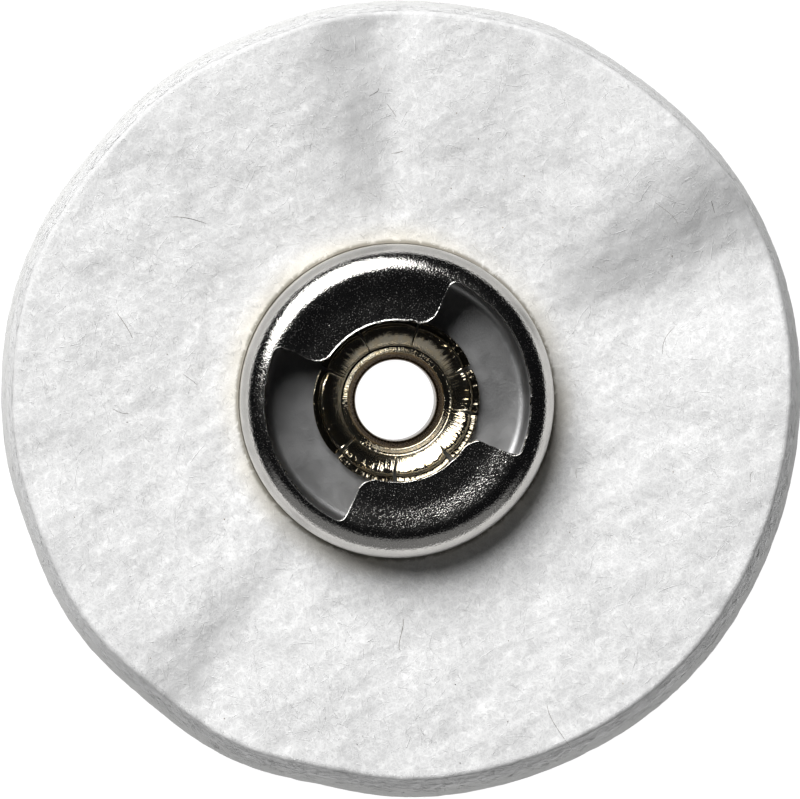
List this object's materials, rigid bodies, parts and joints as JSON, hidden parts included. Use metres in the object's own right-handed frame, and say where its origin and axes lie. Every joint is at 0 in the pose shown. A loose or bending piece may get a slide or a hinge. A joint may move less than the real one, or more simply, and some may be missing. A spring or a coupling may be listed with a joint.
{
  "type": "felt polishing wheel",
  "caption": "White felt polishing disc clamped by an eyelet between a chromed hub cap with a bow-tie quick-lock window and a dished back washer.",
  "frame": {"origin": "on the spin axis, in the plane of the back washer's flat rim", "axes": "+Z along the spin axis out of the drive side, +X along the long axis of the bow-tie window"},
  "size_m": [0.0254, 0.0254, 0.0052],
  "materials": {
    "chromed_steel": "bright chrome plate over drawn steel, faint orange peel",
    "satin_steel": "satin plate over pressed steel",
    "nickelled_brass": "nickel plate over brass, worn to brass at the splits",
    "front_felt": "white needled felt with loose surface fibres",
    "back_felt": "white needled felt with loose surface fibres",
    "zinc_steel": "zinc plated pressed steel"
  },
  "bodies": {
    "root": {"drive_cap": "chromed_steel", "hub_cup": "satin_steel", "eyelet": "nickelled_brass", "felt_ply_front": "front_felt", "felt_ply_back": "back_felt", "backing_washer": "zinc_steel"}
  },
  "joints": []
}
